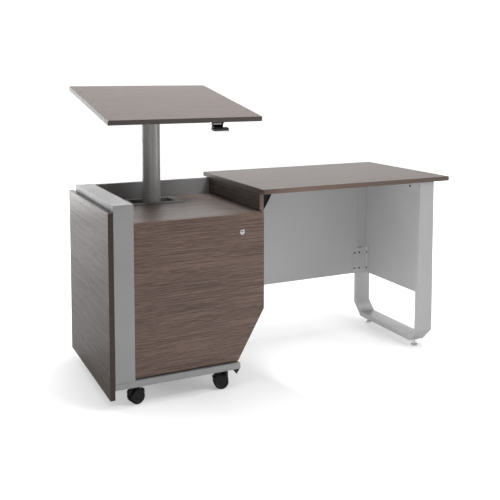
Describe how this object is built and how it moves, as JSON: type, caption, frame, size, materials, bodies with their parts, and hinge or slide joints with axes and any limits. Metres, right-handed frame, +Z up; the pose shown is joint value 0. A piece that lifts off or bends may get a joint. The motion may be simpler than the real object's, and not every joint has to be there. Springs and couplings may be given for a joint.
{
  "type": "sit-stand lectern workstation",
  "caption": "Fixed desk on a loop leg, joined to a cabinet on casters whose column lifts and tilts a lectern top; door, cam lock, release lever and levellers.",
  "frame": {"origin": "on the floor, under the middle of the whole footprint", "axes": "+X along the desk, from the cabinet to the open end; +Y from the user's side to the back; +Z up"},
  "size_m": [1.514, 0.6096, 1.1543],
  "materials": {
    "wood_lift_top": "semi-matt wood-grain laminate, brushed grey-brown",
    "wood_desktop": "semi-matt wood-grain laminate, brushed grey-brown",
    "wood_cabinet_top": "semi-matt wood-grain laminate",
    "wood_door": "semi-matt wood-grain laminate, darker",
    "wood_side_panel": "semi-matt wood-grain laminate",
    "wood_carcass": "semi-matt wood-grain laminate",
    "wood_riser": "semi-matt wood-grain laminate",
    "grey_laminate": "smooth grey laminated board",
    "silver_paint": "fine silver powder coat",
    "column_silver": "satin silver powder coat",
    "black_paint": "satin black powder coat",
    "grommet_plastic": "satin silver-grey",
    "plain_steel": "plain steel",
    "bright_metal": "polished",
    "gas_spring_black": "gloss black",
    "glide_plastic": "satin",
    "lever_plastic": "satin black",
    "cable_sheath": "black sheath",
    "caster_plastic": "satin black",
    "caster_tread": "hard black tread"
  },
  "bodies": {
    "carcass": {"side_panel_left": "wood_side_panel", "end_frame": "silver_paint", "base_pan": "silver_paint", "dock_tab": "black_paint", "cabinet_top": "wood_cabinet_top", "cabinet_side_left": "wood_carcass", "cabinet_side_right": "wood_carcass", "cabinet_side_sloped": "wood_carcass", "cabinet_floor": "wood_carcass", "back_wall": "grey_laminate", "door_pivot_upper": "plain_steel", "door_pivot_lower": "plain_steel", "lock_keeper": "plain_steel", "grommet_bezel": "grommet_plastic", "riser_panel": "wood_riser", "gusset_bracket": "black_paint", "column_base_plate": "plain_steel", "column_fixed_tube": "plain_steel", "column_glide": "glide_plastic", "gas_spring_rod": "bright_metal", "desktop": "wood_desktop", "modesty_panel": "grey_laminate", "end_panel": "grey_laminate", "leg_frame": "silver_paint", "apron_rail": "silver_paint", "corner_bracket": "silver_paint", "leveller_nut_front": "bright_metal", "leveller_nut_back": "bright_metal", "caster_fl_socket": "plain_steel", "caster_fr_socket": "plain_steel", "caster_bl_socket": "plain_steel", "caster_br_socket": "plain_steel"},
    "column": {"column_tube": "column_silver", "gas_spring_cylinder": "gas_spring_black", "column_head": "plain_steel", "tilt_pin": "bright_metal"},
    "tilting_top": {"tilt_bracket": "black_paint", "lift_top": "wood_lift_top", "lever_housing": "lever_plastic", "lever_pin": "bright_metal", "release_cable": "cable_sheath"},
    "lever": {"lever_paddle": "lever_plastic"},
    "door": {"door": "wood_door", "lock_barrel": "bright_metal"},
    "lock": {"lock_plug": "bright_metal", "lock_cam": "plain_steel"},
    "leveller_front": {"leveller_front": "bright_metal"},
    "leveller_back": {"leveller_back": "bright_metal"},
    "caster_fl": {"caster_fl_hood": "caster_plastic"},
    "wheels_fl": {"caster_fl_wheels": "caster_tread"},
    "brake_fl": {"caster_fl_brake": "caster_plastic"},
    "caster_fr": {"caster_fr_hood": "caster_plastic"},
    "wheels_fr": {"caster_fr_wheels": "caster_tread"},
    "brake_fr": {"caster_fr_brake": "caster_plastic"},
    "caster_bl": {"caster_bl_hood": "caster_plastic"},
    "wheels_bl": {"caster_bl_wheels": "caster_tread"},
    "caster_br": {"caster_br_hood": "caster_plastic"},
    "wheels_br": {"caster_br_wheels": "caster_tread"}
  },
  "joints": [
    {"name": "column_lift", "type": "slide", "parent": "carcass", "child": "column", "axis": [0, 0, 1], "range_m": [-0.2, 0.18]},
    {"name": "top_tilt", "type": "hinge", "parent": "column", "child": "tilting_top", "pos_m": [-0.4479, 0.1442, 1.079], "axis": [1, 0, 0], "range_deg": [-10.5, 4.5]},
    {"name": "release_lever", "type": "hinge", "parent": "tilting_top", "child": "lever", "pos_m": [-0.3154, -0.25022, 1.01159], "axis": [-1, 0, 0], "range_deg": [0, 12], "stiffness_Nm_per_rad": 0.6, "springref_deg": -5.73},
    {"name": "door_hinge", "type": "hinge", "parent": "carcass", "child": "door", "pos_m": [-0.6547, -0.2873, 0.39], "axis": [0, 0, -1], "range_deg": [0, 90]},
    {"name": "lock_turn", "type": "hinge", "parent": "door", "child": "lock", "pos_m": [-0.2317, -0.2933, 0.6036], "axis": [0, -1, 0], "range_deg": [0, 90]},
    {"name": "caster_fl_swivel", "type": "hinge", "parent": "carcass", "child": "caster_fl", "pos_m": [-0.6691, -0.2733, 0.06], "axis": [0, 0, 1], "continuous": true},
    {"name": "caster_fl_roll", "type": "hinge", "parent": "caster_fl", "child": "wheels_fl", "pos_m": [-0.65163, -0.26894, 0.028], "axis": [-0.2419, 0.9703, 0], "continuous": true},
    {"name": "caster_fl_brake", "type": "hinge", "parent": "caster_fl", "child": "brake_fl", "pos_m": [-0.62689, -0.26278, 0.047], "axis": [-0.2419, 0.9703, 0], "range_deg": [0, 12]},
    {"name": "caster_fr_swivel", "type": "hinge", "parent": "carcass", "child": "caster_fr", "pos_m": [-0.2989, -0.2805, 0.06], "axis": [0, 0, 1], "continuous": true},
    {"name": "caster_fr_roll", "type": "hinge", "parent": "caster_fr", "child": "wheels_fr", "pos_m": [-0.31663, -0.27737, 0.028], "axis": [-0.1736, -0.9848, 0], "continuous": true},
    {"name": "caster_fr_brake", "type": "hinge", "parent": "caster_fr", "child": "brake_fr", "pos_m": [-0.34174, -0.27295, 0.047], "axis": [-0.1736, -0.9848, 0], "range_deg": [0, 12]},
    {"name": "caster_bl_swivel", "type": "hinge", "parent": "carcass", "child": "caster_bl", "pos_m": [-0.6688, 0.2272, 0.06], "axis": [0, 0, 1], "continuous": true},
    {"name": "caster_bl_roll", "type": "hinge", "parent": "caster_bl", "child": "wheels_bl", "pos_m": [-0.65119, 0.23094, 0.028], "axis": [-0.2079, 0.9781, 0], "continuous": true},
    {"name": "caster_br_swivel", "type": "hinge", "parent": "carcass", "child": "caster_br", "pos_m": [-0.294, 0.2272, 0.06], "axis": [0, 0, 1], "continuous": true},
    {"name": "caster_br_roll", "type": "hinge", "parent": "caster_br", "child": "wheels_br", "pos_m": [-0.31173, 0.22407, 0.028], "axis": [0.1736, -0.9848, 0], "continuous": true},
    {"name": "leveller_front_screw", "type": "slide", "parent": "carcass", "child": "leveller_front", "axis": [0, 0, -1], "range_m": [-0.004, 0.01]},
    {"name": "leveller_back_screw", "type": "slide", "parent": "carcass", "child": "leveller_back", "axis": [0, 0, -1], "range_m": [-0.004, 0.01]}
  ]
}
